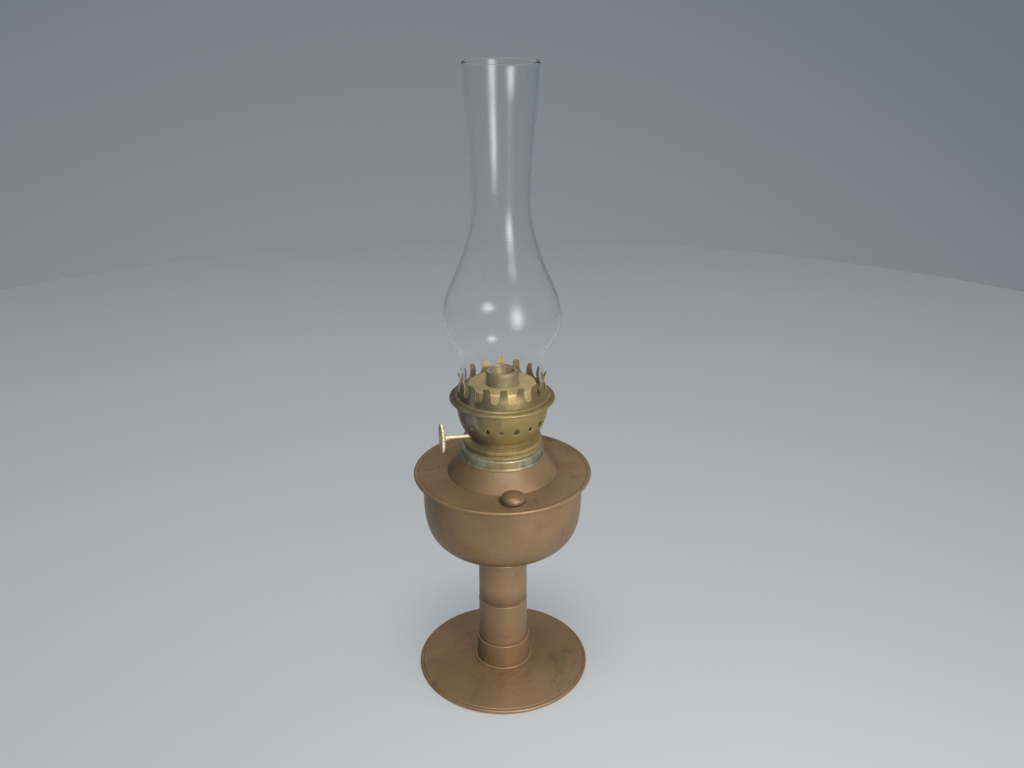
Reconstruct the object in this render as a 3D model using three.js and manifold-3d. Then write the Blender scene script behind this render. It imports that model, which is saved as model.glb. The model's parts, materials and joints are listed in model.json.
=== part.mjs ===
// Round-wick oil lamp: a bronze foot, stem and font, a brass burner with a crown of prongs, and a clear
// glass chimney. Millimetres, +Z up. The origin is the centre of the felt's underside, the spindle of the
// wick knob points towards -X and a little towards -Y, and the filler cap is on the -Y side.

import * as THREE from 'three';
import { mergeVertices } from 'three/addons/utils/BufferGeometryUtils.js';
import Module from 'manifold-3d';

const wasm = await Module();
wasm.setup();

// ---------------------------------------------------------------- driving dimensions

const GAP = 0.3; // free space kept between two pieces that touch on the real lamp
const SHEET = 1.2; // wall of the spun bronze pieces
const THIN_SHEET = 0.8; // wall of the pressed brass pieces

const ROUND_SIDES = 32; // facets round the large turned pieces
const TUBE_SIDES = 24; // facets round the wick and its tubes
const SMALL_SIDES = 20; // facets round caps, washers and other small turned pieces
const ROD_SIDES = 8; // facets round rods and small holes

const FOOT = { radius: 75, rimTop: 3.2, centreTop: 7, grooveRadius: 72.2, feltRadius: 71.6, felt: 1.2 };
const STEM = {
  collarRadius: 23.1, collarTop: 29.3,
  sleeveRadius: 21.1, sleeveTop: 68.9,
  tubeRadius: 20.85, waistRadius: 20.1, lineHeight: 110,
  beadRadius: 25.7, beadTop: 8.6,
  rodRadius: 3,
};
const BOWL = {
  radius: 66.3, shoulder: 183.7, depth: 58.8, roundness: 4.05,
  lipRadius: 68.6, lipTop: 191.5, floorRadius: 21, floor: 119.5,
};
const DECK = { rimRadius: 73.8, rimTop: 194.1, top: 193.9, coneFoot: 45.7, coneTop: 33.7, coneHeight: 208.5 };
const FILLER = {
  x: 8.3, y: -54.5, neckRadius: 6.4, bore: 5.4, flangeRadius: 8.3, flangeTop: 196.1, capRadius: 9.8,
};
const COLLAR = { bore: 24.6, spigot: 26.3, bead: 34.7, waist: 32.9, top: 217.3 };
const BURNER = {
  skirtRadius: 24.1, skirtBottom: 204, knurlRadius: 32.4, flangeTop: 225,
  neckRadius: 26, shoulder: 229.3, basketTop: 258.6, basketRadius: 36.9,
  holeHeight: 243.5, largeHole: 2.65, smallHole: 1.75, holePairs: 9, holeTurn: -1.3,
};
const GALLERY = { radius: 42.7, beadHeight: 260.1, seat: 263.3, bore: 30.4 };
const CROWN = { prongs: 16, turn: 2, slotBottom: 268, top: 280, slotWidth: 6.2, slotWidthTop: 7.6 };
const WICK = {
  outer: 12.2, inner: 10.6, bottom: 150, top: 283.2, lift: 10,
  tubeOuter: 13.3, tubeInner: 12.5, tubeTop: 284, airOuter: 10.3, airInner: 9.5,
};
const DRAUGHT = { width: 7.2, bottom: 235, top: 245, reach: 15 }; // side duct of the inner air tube
const KNOB = { azimuth: 190.5, height: 227.2, radius: 12, centre: 50, thickness: 2.8, ridges: 24 };
const PINION = { pitchRadius: 4, teeth: 10, addendum: 0.75, dedendum: 1, tooth: 0.95, from: 14.3, to: 17.7 };
const PITCH = (2 * Math.PI * PINION.pitchRadius) / PINION.teeth;
const SPINDLE_RADIUS = 1.5;
// The rack stands beside the spindle: these are distances across the spindle, heights and numbers of teeth.
const RACK = { back: 7.6, armTop: 216.5, slot: [4.7, 7.9], below: 5, above: 3 };
const CHIMNEY_WALL = 1.8;

// Outer outline of the chimney, foot to mouth: [radius, height].
const CHIMNEY_OUTLINE = [
  [32.9, 263.7], [32.8, 289], [33.7, 297.5], [37, 304], [41.6, 311], [45.4, 319.5], [46.9, 328.5],
  [45.8, 337.5], [43.1, 347], [34.2, 367.2], [26.3, 390], [23.6, 401.2], [22.1, 418], [22.8, 444],
  [25.2, 478], [27.9, 519],
];

// ---------------------------------------------------------------- materials

const metal = (color, roughness) => new THREE.MeshStandardMaterial({ color, roughness, metalness: 1 });
const bronze = () => metal(0x8f7355, 0.42);
const brass = () => metal(0xa08c58, 0.38);
const patinaBrass = () => metal(0x85866a, 0.45);
const paleBrass = () => metal(0xcdc39f, 0.35);
const steel = () => metal(0x8d9094, 0.4);
const castIron = () => metal(0x3b3a39, 0.7);
const cloth = (color) => new THREE.MeshStandardMaterial({ color, roughness: 0.95, metalness: 0 });
const clearGlass = () => new THREE.MeshStandardMaterial({
  color: 0xf2f6f6, roughness: 0.03, metalness: 0, transparent: true, opacity: 0.25,
});

// ---------------------------------------------------------------- geometry helpers

// Merges shared vertices, drops collapsed triangles and turns the faces outwards.
function closedBody(source) {
  const bare = source.clone();
  bare.deleteAttribute('normal');
  bare.deleteAttribute('uv');
  const body = mergeVertices(bare, 1e-4);
  const corners = body.index.array;
  const kept = [];
  for (let i = 0; i < corners.length; i += 3) {
    const [a, b, c] = corners.slice(i, i + 3);
    if (a !== b && b !== c && c !== a) kept.push(a, b, c);
  }
  const place = body.getAttribute('position');
  const point = (i) => new THREE.Vector3().fromBufferAttribute(place, i);
  let volume = 0;
  for (let i = 0; i < kept.length; i += 3) {
    volume += point(kept[i]).dot(point(kept[i + 1]).cross(point(kept[i + 2])));
  }
  body.setIndex(volume < 0 ? kept.reverse() : kept);
  return body;
}

function toManifold(geometry) {
  const body = closedBody(geometry);
  const vertProperties = new Float32Array(body.getAttribute('position').array);
  const triVerts = new Uint32Array(body.index.array);
  return new wasm.Manifold(new wasm.Mesh({ numProp: 3, vertProperties, triVerts }));
}

function fromManifold(solid) {
  const { vertProperties, triVerts } = solid.getMesh();
  const geometry = new THREE.BufferGeometry();
  geometry.setAttribute('position', new THREE.BufferAttribute(vertProperties, 3));
  geometry.setIndex(new THREE.BufferAttribute(triVerts, 1));
  return geometry;
}

function cut(geometry, cutters) {
  let solid = toManifold(geometry);
  for (const cutter of cutters) solid = solid.subtract(toManifold(cutter));
  return fromManifold(solid);
}

function join(...geometries) {
  const [first, ...rest] = geometries.map(toManifold);
  return fromManifold(rest.reduce((solid, piece) => solid.add(piece), first));
}

// Turns a closed outline of [radius, height] points about +Z.
function turned(outline, sides = ROUND_SIDES) {
  const points = [...outline, outline[0]].map(([radius, height]) => new THREE.Vector2(radius, height));
  return closedBody(new THREE.LatheGeometry(points, sides).rotateX(Math.PI / 2));
}

// A plain ring or, with inner = 0, a disc.
function ring(inner, outer, bottom, top, sides = ROUND_SIDES) {
  return turned([[inner, bottom], [outer, bottom], [outer, top], [inner, top]], sides);
}

function box(x, y, z) {
  const size = [x, y, z].map(([low, high]) => high - low);
  const centre = [x, y, z].map(([low, high]) => (low + high) / 2);
  return new THREE.BoxGeometry(...size).translate(...centre);
}

// A bar along +X from one distance to another, at a given height.
function barAlongX(radius, from, to, height, sides = ROD_SIDES) {
  const length = to - from;
  return new THREE.CylinderGeometry(radius, radius, length, sides)
    .rotateZ(Math.PI / 2)
    .translate((from + to) / 2, 0, height);
}

const radians = THREE.MathUtils.degToRad;
const turnAboutZ = (geometry, degrees) => geometry.rotateZ(radians(degrees));

// ---------------------------------------------------------------- foot

const footSlope = (FOOT.centreTop - 3.9) / (71 - 27);
const footTopAt = (radius) => FOOT.centreTop - footSlope * Math.max(0, radius - 27);

function footPlate() {
  const bore = STEM.rodRadius + GAP * 2;
  const under = FOOT.centreTop - SHEET;
  return turned([
    [bore, under], [bore, FOOT.centreTop], [27, FOOT.centreTop], [71, footTopAt(71)],
    [FOOT.grooveRadius, 3.05], [73.3, FOOT.rimTop], [74.4, FOOT.rimTop - 0.3], [FOOT.radius, 1.9],
    [74.4, 0.6], [73.4, 0.3], [72.2, 0.3], [72, 1.7], [70.6, footTopAt(71) - SHEET], [27, under],
  ]);
}

function footWeight() {
  const bottom = FOOT.felt + GAP;
  const under = SHEET + GAP;
  return turned([[14, bottom], [68, bottom], [68, footTopAt(68) - under], [27, footTopAt(27) - under],
    [14, footTopAt(14) - under]]);
}

function footBeadRing() {
  const inner = STEM.collarRadius + 0.4;
  const bottom = FOOT.centreTop + GAP;
  return turned([[inner, bottom], [25.2, bottom], [STEM.beadRadius, bottom + 0.5],
    [25.4, STEM.beadTop - 0.2], [24.8, STEM.beadTop], [inner, STEM.beadTop]]);
}

// ---------------------------------------------------------------- stem

function stemFootCollar() {
  const { collarRadius, collarTop, sleeveRadius } = STEM;
  const inner = sleeveRadius + 0.4;
  const bottom = FOOT.centreTop + GAP;
  return turned([[inner, bottom], [collarRadius, bottom], [collarRadius, collarTop - 0.9],
    [collarRadius - 0.6, collarTop], [inner, collarTop]]);
}

function stemLowerSleeve() {
  const { sleeveRadius, sleeveTop } = STEM;
  const inner = sleeveRadius - 1.4;
  const bottom = FOOT.centreTop + GAP;
  return turned([[inner, bottom], [sleeveRadius, bottom], [sleeveRadius, sleeveTop - 2.2],
    [sleeveRadius - 0.3, sleeveTop - 0.8], [sleeveRadius - 1, sleeveTop], [inner, sleeveTop]]);
}

function stemUpperTube() {
  const { tubeRadius, waistRadius, lineHeight, sleeveRadius, sleeveTop } = STEM;
  const spigot = sleeveRadius - 1.4 - GAP - 0.1;
  const inner = spigot - 1.3;
  const top = BOWL.floor - GAP;
  const bottom = sleeveTop - 12;
  return turned([
    [inner, bottom], [spigot, bottom], [spigot, sleeveTop + GAP], [waistRadius, sleeveTop + GAP],
    [waistRadius, sleeveTop + 1.2], [tubeRadius, sleeveTop + 4.6], [tubeRadius, lineHeight - 0.7],
    [tubeRadius + 0.35, lineHeight], [tubeRadius, lineHeight + 0.7], [tubeRadius, top], [inner, top],
  ]);
}

const TIE_ROD = { bottom: 1.6, top: 115 };

// A hexagon nut, whose bore is a hexagon too, clear of the rod at its flats.
function tieNut(bottom, top) {
  const bore = STEM.rodRadius / Math.cos(Math.PI / 6) + GAP;
  return ring(bore, 6.8, bottom, top, 6);
}

// Soldered under the font; the tie rod screws into it.
function fontSocket() {
  const radius = STEM.sleeveRadius - 1.4 - GAP - 0.1 - 1.3 - GAP - 0.1;
  const bore = STEM.rodRadius + GAP;
  return turned([[bore, 106], [9, 106], [9, 113], [radius, 116], [radius, BOWL.floor - GAP],
    [0, BOWL.floor - GAP], [0, TIE_ROD.top + GAP], [bore, TIE_ROD.top + GAP]], SMALL_SIDES);
}

// ---------------------------------------------------------------- font

// One side of the bowl's section, shoulder to floor, as a rounded square; inset moves it inwards.
function bowlWall(inset, steps) {
  const { radius, shoulder, depth, roundness } = BOWL;
  const wall = [];
  for (let i = 0; i <= steps; i += 1) {
    const angle = radians(58) * (i / steps);
    const across = Math.cos(angle) ** (2 / roundness);
    const down = Math.sin(angle) ** (2 / roundness);
    wall.push([(radius - inset) * across, shoulder - (depth - inset) * down]);
  }
  return wall;
}

function fontBowl() {
  const { lipRadius, lipTop, floor, floorRadius } = BOWL;
  const outside = [[lipRadius, lipTop], ...bowlWall(0, 5), [36, 123.2], [floorRadius, floor], [0, floor]];
  const inside = [[lipRadius - SHEET, lipTop], ...bowlWall(SHEET, 4), [36, 123.2 + SHEET],
    [floorRadius, floor + SHEET], [0, floor + SHEET]];
  return turned([...outside, ...inside.reverse()]);
}

function fontTop() {
  const { rimRadius, rimTop, top, coneFoot, coneTop, coneHeight } = DECK;
  const bore = COLLAR.spigot + 0.5;
  const under = BOWL.lipTop + GAP + 0.2;
  const shell = turned([
    [bore, coneHeight], [coneTop, coneHeight], [coneFoot, top], [67.6, top - 0.2], [68.2, top - 0.7],
    [68.9, top - 0.1], [rimRadius - 0.8, rimTop], [rimRadius, rimTop - 1], [rimRadius - 0.6, under - 0.2],
    [70.5, under], [coneFoot - 0.6, top - SHEET], [coneTop - 0.5, coneHeight - SHEET],
    [bore, coneHeight - SHEET],
  ]);
  const hole = new THREE.CylinderGeometry(7, 7, 10, SMALL_SIDES)
    .rotateX(Math.PI / 2)
    .translate(FILLER.x, FILLER.y, top);
  return cut(shell, [hole]);
}

function fontCollar() {
  const { bore, spigot, bead, waist, top } = COLLAR;
  const bottom = DECK.coneHeight + GAP;
  return turned([[bore, 205.5], [spigot, 205.5], [spigot, bottom], [bead - 0.5, bottom], [bead, bottom + 0.7],
    [bead - 0.4, bottom + 1.8], [waist + 0.3, bottom + 2.8], [waist, 214.5], [waist, top - 0.5],
    [waist - 0.5, top], [bore, top]]);
}

// ---------------------------------------------------------------- filler neck, gasket and cap

function fillerNeck() {
  const { neckRadius, bore, flangeRadius, flangeTop } = FILLER;
  const seat = DECK.top + 0.5;
  const top = flangeTop + 2.4;
  return turned([[bore, 186], [neckRadius, 186], [neckRadius, seat], [flangeRadius, seat],
    [flangeRadius, flangeTop], [neckRadius, flangeTop], [neckRadius, top], [bore, top]], SMALL_SIDES);
}

function fillerGasket() {
  const { neckRadius, flangeRadius, flangeTop } = FILLER;
  return ring(neckRadius + 0.4, flangeRadius, flangeTop + GAP, flangeTop + 1, SMALL_SIDES);
}

// A low dome with a skirt that hangs round the neck's flange.
function fillerCap() {
  const { capRadius, neckRadius, flangeRadius, flangeTop } = FILLER;
  const bore = neckRadius + 0.4;
  const skirtBore = flangeRadius + 0.5;
  const outline = [
    [0, 3.1], [bore, 3.1], [bore, 1.3], [skirtBore, 1.3], [skirtBore, -0.8], [capRadius - 0.4, -0.8],
    [capRadius, 0], [9.6, 1.7], [8.2, 3.5], [5.4, 4.6], [0, 5],
  ];
  return turned(outline.map(([radius, rise]) => [radius, flangeTop + rise]), SMALL_SIDES);
}

// ---------------------------------------------------------------- burner body

const burnerWasher = () => ring(COLLAR.bore, 31.2, COLLAR.top + GAP, 218.8);

function burnerBase() {
  const { skirtRadius, skirtBottom, knurlRadius, flangeTop, neckRadius } = BURNER;
  const inside = skirtRadius - SHEET;
  const tubeHole = WICK.tubeOuter + GAP + 0.1;
  const shelf = neckRadius - THIN_SHEET;
  return turned([
    [tubeHole, skirtBottom], [skirtRadius, skirtBottom], [skirtRadius, 219.1], [31.5, 219.1],
    [31.5, 221.6], [knurlRadius, 221.9], [knurlRadius, flangeTop - 0.3], [knurlRadius - 0.3, flangeTop],
    [shelf, flangeTop], [shelf, 222.5], [inside, 222.5], [inside, skirtBottom + SHEET],
    [tubeHole, skirtBottom + SHEET],
  ]);
}

function burnerBasket() {
  const { neckRadius, flangeTop, shoulder, basketTop, basketRadius } = BURNER;
  const outside = [[neckRadius, flangeTop + GAP], [neckRadius, shoulder], [28.4, shoulder + 0.1],
    [29.9, 230.8], [32.8, 236.1], [35, 241.5], [36.3, 247], [basketRadius, 253], [basketRadius, basketTop]];
  const bore = neckRadius - THIN_SHEET;
  const inside = [[bore, flangeTop + GAP], [bore, shoulder + THIN_SHEET], [28, shoulder + 0.1 + THIN_SHEET],
    [31.9, 236.5], [34.1, 241.8], [35.4, 247.1], [basketRadius - 0.9, 253], [basketRadius - 0.9, basketTop]];
  const holes = [];
  const step = 360 / BURNER.holePairs;
  for (let i = 0; i < BURNER.holePairs; i += 1) {
    const large = barAlongX(BURNER.largeHole, 28, 42, BURNER.holeHeight, 6);
    const small = barAlongX(BURNER.smallHole, 28, 42, BURNER.holeHeight, 4);
    const azimuth = -90 + BURNER.holeTurn + step * i;
    holes.push(turnAboutZ(large, azimuth + step / 2), turnAboutZ(small, azimuth));
  }
  const spindleHole = turnAboutZ(barAlongX(SPINDLE_RADIUS + GAP, 22, 29, KNOB.height), KNOB.azimuth);
  return cut(turned([...outside, ...inside.reverse()]), [...holes, spindleHole]);
}

function galleryRing() {
  const { radius, beadHeight, seat, bore } = GALLERY;
  const under = BURNER.basketTop + GAP + 0.2;
  return turned([[bore, seat - 1.2], [35.2, seat - 1.2], [35.6, under], [38.5, under],
    [radius - 1, beadHeight - 1.2], [radius, beadHeight], [radius - 0.5, beadHeight + 1.2],
    [40.4, 262.4], [37.6, seat], [bore, seat]]);
}

// A flared band cut by round-bottomed slots into a crown of springy prongs.
function crown() {
  const bottom = GALLERY.seat + GAP;
  const outside = [[36.4, bottom], [35.8, 268], [34.2, 275], [35.6, CROWN.top]];
  const inside = outside.map(([radius, height]) => [radius - THIN_SHEET, height]);
  const slot = new THREE.Shape();
  const half = CROWN.slotWidth / 2;
  const halfTop = CROWN.slotWidthTop / 2;
  slot.moveTo(half, CROWN.slotBottom + half);
  slot.lineTo(halfTop, CROWN.top + 1);
  slot.lineTo(-halfTop, CROWN.top + 1);
  slot.lineTo(-half, CROWN.slotBottom + half);
  slot.absarc(0, CROWN.slotBottom + half, half, Math.PI, 2 * Math.PI, false);
  const slots = [];
  for (let i = 0; i < CROWN.prongs; i += 1) {
    const cutter = new THREE.ExtrudeGeometry(slot, { depth: 8, bevelEnabled: false, curveSegments: 3 });
    cutter.rotateX(Math.PI / 2).translate(0, -31, 0);
    slots.push(turnAboutZ(cutter, CROWN.turn + (360 / CROWN.prongs) * (i + 0.5)));
  }
  const band = turnAboutZ(turned([...outside, ...inside.reverse()]), CROWN.turn);
  return cut(band, slots);
}

function deckPlate() {
  const radius = 27.3;
  const top = 272.5;
  const bore = WICK.tubeOuter + GAP + 0.1;
  return turned([
    [bore, top - THIN_SHEET], [radius - THIN_SHEET, top - THIN_SHEET], [radius - THIN_SHEET, 265.5],
    [radius, 265.5], [radius, top - 0.9], [radius - 0.7, top], [bore, top],
  ]);
}

// ---------------------------------------------------------------- wick, its tubes and its rack

function outerWickTube() {
  const { tubeInner, tubeOuter, tubeTop, lift } = WICK;
  const bottom = BURNER.skirtBottom - 1;
  const rackSlot = box([9, 13.5], RACK.slot, [bottom - 1, RACK.armTop + lift + 0.5]);
  const window = DRAUGHT.width / 2 + GAP;
  const ductWindow = box([-window, window], [10, 15], [DRAUGHT.bottom - GAP, DRAUGHT.top + GAP]);
  return cut(ring(tubeInner, tubeOuter, bottom, tubeTop, TUBE_SIDES),
    [turnAboutZ(rackSlot, KNOB.azimuth), ductWindow]);
}

// Closed at the bottom, open at the top, with a square side duct that lets air in from the basket.
function innerAirTube() {
  const { airInner, airOuter } = WICK;
  const top = WICK.tubeTop - 0.6;
  const floor = 231;
  const tube = turned([[0, floor], [airOuter, floor], [airOuter, top], [airInner, top],
    [airInner, floor + THIN_SHEET], [0, floor + THIN_SHEET]], TUBE_SIDES);
  const { width, bottom, top: ductTop, reach } = DRAUGHT;
  const half = width / 2;
  const bore = half - THIN_SHEET;
  const duct = box([-half, half], [airInner, reach], [bottom, ductTop]);
  const passage = box([-bore, bore], [5, reach + 1], [bottom + THIN_SHEET, ductTop - THIN_SHEET]);
  return cut(join(tube, duct), [passage]);
}

// A woven sleeve, split below the duct so that it can slide past it.
function wickSleeve() {
  const half = DRAUGHT.width / 2 + 0.6;
  const split = box([-half, half], [5, 15], [WICK.bottom - 1, DRAUGHT.top + 8]);
  return cut(ring(WICK.inner, WICK.outer, WICK.bottom, WICK.top, TUBE_SIDES), [split]);
}

// Toothed outline in the plane of Y and Z, as [across, height] points, drawn out along the spindle.
function drawnAlongSpindle(outline, from, to, holeRadius = 0) {
  const shape = new THREE.Shape(outline.map(([across, height]) => new THREE.Vector2(across, height)));
  if (holeRadius > 0) shape.holes.push(new THREE.Path().absarc(0, 0, holeRadius, 0, 2 * Math.PI, true));
  const solid = new THREE.ExtrudeGeometry(shape, { depth: to - from, bevelEnabled: false, curveSegments: 6 });
  // the shape's X becomes +Y, its Y becomes +Z and its depth runs along +X
  return solid.rotateX(Math.PI / 2).rotateZ(Math.PI / 2).translate(from, 0, 0);
}

function wickRack() {
  const { pitchRadius, addendum, dedendum, tooth, from, to } = PINION;
  const tip = pitchRadius - addendum;
  const root = pitchRadius + dedendum;
  const flank = Math.tan(radians(22));
  const bottom = KNOB.height - (RACK.below + 0.5) * PITCH;
  const outline = [[RACK.back, bottom]];
  for (let i = -RACK.below; i < RACK.above; i += 1) {
    const middle = KNOB.height + (i + 0.5) * PITCH;
    const wide = tooth / 2 + dedendum * flank;
    const narrow = tooth / 2 - addendum * flank;
    outline.push([root, middle - wide], [tip, middle - narrow]);
    outline.push([tip, middle + narrow], [root, middle + wide]);
  }
  const top = KNOB.height + RACK.above * PITCH;
  outline.splice(1, 0, [root, bottom]);
  outline.push([root, top], [RACK.back, top]);
  const bar = drawnAlongSpindle(outline, from + 0.1, to - 0.1);
  const arm = box([11.6, from + 1], [5.2, 7.4], [bottom, RACK.armTop]);
  return turnAboutZ(join(bar, arm), KNOB.azimuth);
}

// ---------------------------------------------------------------- knob, spindle and pinion

function spindle() {
  return turnAboutZ(barAlongX(SPINDLE_RADIUS, 13.9, KNOB.centre - 2.1, KNOB.height), KNOB.azimuth);
}

function drivePinion() {
  const { pitchRadius, addendum, dedendum, tooth, teeth, from, to } = PINION;
  const outline = [];
  const corner = (radius, half, middle) => {
    const angle = middle + half / radius;
    outline.push([radius * Math.cos(angle), radius * Math.sin(angle)]);
  };
  for (let i = 0; i < teeth; i += 1) {
    const middle = (2 * Math.PI * i) / teeth;
    corner(pitchRadius - dedendum, -0.6, middle);
    corner(pitchRadius + addendum, -tooth / 4, middle);
    corner(pitchRadius + addendum, tooth / 4, middle);
    corner(pitchRadius - dedendum, 0.6, middle);
  }
  const gear = drawnAlongSpindle(outline, from, to, SPINDLE_RADIUS + GAP);
  return turnAboutZ(gear.translate(0, 0, KNOB.height), KNOB.azimuth);
}

function spindleBearing() {
  const block = box([19.2, 24.5], [-3, 3], [222.8, 230.2]);
  const bore = barAlongX(SPINDLE_RADIUS + GAP, 18, 26, KNOB.height);
  return turnAboutZ(cut(block, [bore]), KNOB.azimuth);
}

function wickKnob() {
  const { radius, centre, thickness, ridges, height, azimuth } = KNOB;
  const face = centre - thickness / 2;
  const rim = new THREE.Shape();
  for (let i = 0; i < 2 * ridges; i += 1) {
    const angle = (Math.PI * i) / ridges;
    const reach = i % 2 ? radius - 0.7 : radius;
    rim[i ? 'lineTo' : 'moveTo'](reach * Math.cos(angle), reach * Math.sin(angle));
  }
  const disc = new THREE.ExtrudeGeometry(rim, { depth: thickness, bevelEnabled: false });
  const hub = turned([[0, -3.8], [2.3, -3.8], [3.2, 0.2], [3.2, 1], [0, 1]], SMALL_SIDES);
  const bore = new THREE.CylinderGeometry(SPINDLE_RADIUS + GAP, SPINDLE_RADIUS + GAP, 4, ROD_SIDES)
    .rotateX(Math.PI / 2)
    .translate(0, 0, -2.3);
  const knob = cut(join(disc, hub), [bore]);
  return turnAboutZ(knob.rotateY(Math.PI / 2).translate(face, 0, height), azimuth);
}

// ---------------------------------------------------------------- chimney

function chimney() {
  const inside = CHIMNEY_OUTLINE.map(([radius, height]) => [radius - CHIMNEY_WALL, height]);
  return turned([...CHIMNEY_OUTLINE, ...inside.reverse()]);
}

// ---------------------------------------------------------------- assembly

const lamp = new THREE.Group();

function add(parent, name, geometry, material) {
  geometry.computeVertexNormals();
  const mesh = new THREE.Mesh(geometry, material);
  mesh.name = name;
  parent.add(mesh);
  return mesh;
}

const foot = new THREE.Group();
add(foot, 'base_felt', ring(0, FOOT.feltRadius, 0, FOOT.felt), cloth(0x33402f));
add(foot, 'foot_plate', footPlate(), bronze());
add(foot, 'foot_weight', footWeight(), castIron());
add(foot, 'foot_bead_ring', footBeadRing(), bronze());
lamp.add(foot);

const stem = new THREE.Group();
add(stem, 'stem_foot_collar', stemFootCollar(), bronze());
add(stem, 'stem_lower_sleeve', stemLowerSleeve(), bronze());
add(stem, 'stem_upper_tube', stemUpperTube(), bronze());
add(stem, 'tie_rod', ring(0, STEM.rodRadius, TIE_ROD.bottom, TIE_ROD.top, ROD_SIDES), steel());
add(stem, 'tie_washer', ring(STEM.rodRadius + GAP, 10, 4.4, 5.4, SMALL_SIDES), steel());
add(stem, 'tie_nut', tieNut(TIE_ROD.bottom, 4.1), steel());
add(stem, 'font_socket', fontSocket(), bronze());
lamp.add(stem);

const font = new THREE.Group();
add(font, 'font_bowl', fontBowl(), bronze());
add(font, 'font_top', fontTop(), bronze());
add(font, 'font_collar', fontCollar(), patinaBrass());
const filler = new THREE.Group();
add(filler, 'filler_neck', fillerNeck(), bronze());
add(filler, 'filler_gasket', fillerGasket(), cloth(0x2a2622));
add(filler, 'filler_cap', fillerCap(), bronze());
filler.position.set(FILLER.x, FILLER.y, 0);
font.add(filler);
lamp.add(font);

const burner = new THREE.Group();
add(burner, 'burner_washer', burnerWasher(), cloth(0x3a2f26));
add(burner, 'burner_base', burnerBase(), brass());
add(burner, 'burner_basket', burnerBasket(), brass());
add(burner, 'gallery_ring', galleryRing(), brass());
add(burner, 'prong_crown', crown(), brass());
add(burner, 'deck_plate', deckPlate(), brass());
add(burner, 'outer_wick_tube', outerWickTube(), patinaBrass());
add(burner, 'inner_air_tube', innerAirTube(), patinaBrass());
add(burner, 'spindle_bearing', spindleBearing(), brass());
add(burner, 'wick', wickSleeve(), cloth(0xd8cfb8));
add(burner, 'wick_rack', wickRack(), brass());
add(burner, 'wick_spindle', spindle(), paleBrass());
add(burner, 'drive_pinion', drivePinion(), brass());
add(burner, 'wick_knob', wickKnob(), paleBrass());
add(burner, 'chimney', chimney(), clearGlass());
lamp.add(burner);

export default lamp;
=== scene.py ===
"""A round-wick oil lamp: bronze foot, stem and font, brass burner with a crown of prongs, clear chimney."""

import json
import math

import bmesh
import bpy
import numpy as np
from mathutils import Matrix, Vector


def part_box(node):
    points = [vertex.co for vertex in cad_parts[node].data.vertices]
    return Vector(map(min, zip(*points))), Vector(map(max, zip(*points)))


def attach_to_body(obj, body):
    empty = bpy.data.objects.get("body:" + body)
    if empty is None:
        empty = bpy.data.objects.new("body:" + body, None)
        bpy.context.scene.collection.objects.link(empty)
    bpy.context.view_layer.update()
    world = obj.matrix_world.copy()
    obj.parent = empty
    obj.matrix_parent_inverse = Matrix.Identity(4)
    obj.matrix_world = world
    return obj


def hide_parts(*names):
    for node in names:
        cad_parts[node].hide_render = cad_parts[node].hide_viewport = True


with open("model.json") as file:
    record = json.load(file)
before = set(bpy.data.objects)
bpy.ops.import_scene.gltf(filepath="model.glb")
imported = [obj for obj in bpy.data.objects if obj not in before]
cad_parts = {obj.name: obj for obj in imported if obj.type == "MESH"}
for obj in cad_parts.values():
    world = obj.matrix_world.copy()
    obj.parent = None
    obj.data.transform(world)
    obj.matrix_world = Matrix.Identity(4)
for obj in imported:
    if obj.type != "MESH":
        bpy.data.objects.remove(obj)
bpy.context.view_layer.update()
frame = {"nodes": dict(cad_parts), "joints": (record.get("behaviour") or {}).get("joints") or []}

MM = 0.001  # every outline below is in millimetres, as (radius, height) or (radius, height, fillet)
FINE = 160  # facets round a large turned piece
SMALL = 96  # facets round a small one

scene = bpy.context.scene


# -------------------------------- node trees

def rgb(red, green, blue):
    """An sRGB colour, 0 to 255, as the linear colour that a shader takes."""
    shares = [value / 255 for value in (red, green, blue)]
    return (*(c / 12.92 if c <= 0.04045 else ((c + 0.055) / 1.055) ** 2.4 for c in shares), 1)


class Nodes:
    """A node tree, with short calls for the nodes that the finishes and the backdrop share."""

    def __init__(self, tree):
        self.tree = tree

    def node(self, kind, sockets=None, **settings):
        """A new node; sockets gives its inputs plain numbers or colours, or links outputs to them."""
        made = self.tree.nodes.new(kind)
        for name, value in settings.items():
            setattr(made, name, value)
        for name, value in (sockets or {}).items():
            self.feed(made.inputs[name], value)
        return made

    def link(self, source, target):
        self.tree.links.new(source, target)

    def feed(self, target, value):
        if isinstance(value, bpy.types.NodeSocket):
            self.link(value, target)
        else:
            target.default_value = value

    def maths(self, operation, first, second=0.0):
        return self.node("ShaderNodeMath", {0: first, 1: second}, operation=operation).outputs[0]

    def parts(self, vector):
        """The x, y and z of a vector."""
        return self.node("ShaderNodeSeparateXYZ", {0: vector}).outputs

    def band(self, value, low, high, shape="SMOOTHSTEP"):
        """0 below low, 1 above high, and between them smooth, or even if shape is LINEAR."""
        sockets = {"Value": value, "From Min": low, "From Max": high}
        return self.node("ShaderNodeMapRange", sockets, interpolation_type=shape).outputs["Result"]

    def range(self, value, low, high):
        """Spreads a 0 to 1 value over low to high."""
        sockets = {"Value": value, "To Min": low, "To Max": high}
        return self.node("ShaderNodeMapRange", sockets).outputs["Result"]

    def mix(self, amount, first, second):
        # a Mix node's inputs 6 and 7 are its two colours, and its output 2 is the mixed one
        return self.node("ShaderNodeMix", {0: amount, 6: first, 7: second}, data_type="RGBA").outputs[2]

    def tint(self, tone, where, amount, colour):
        """Takes a tone towards a colour by amount, as far as where, from 0 to 1, reaches."""
        return self.mix(self.maths("MULTIPLY", where, amount), tone, colour)


# -------------------------------- camera, floor and light

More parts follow.
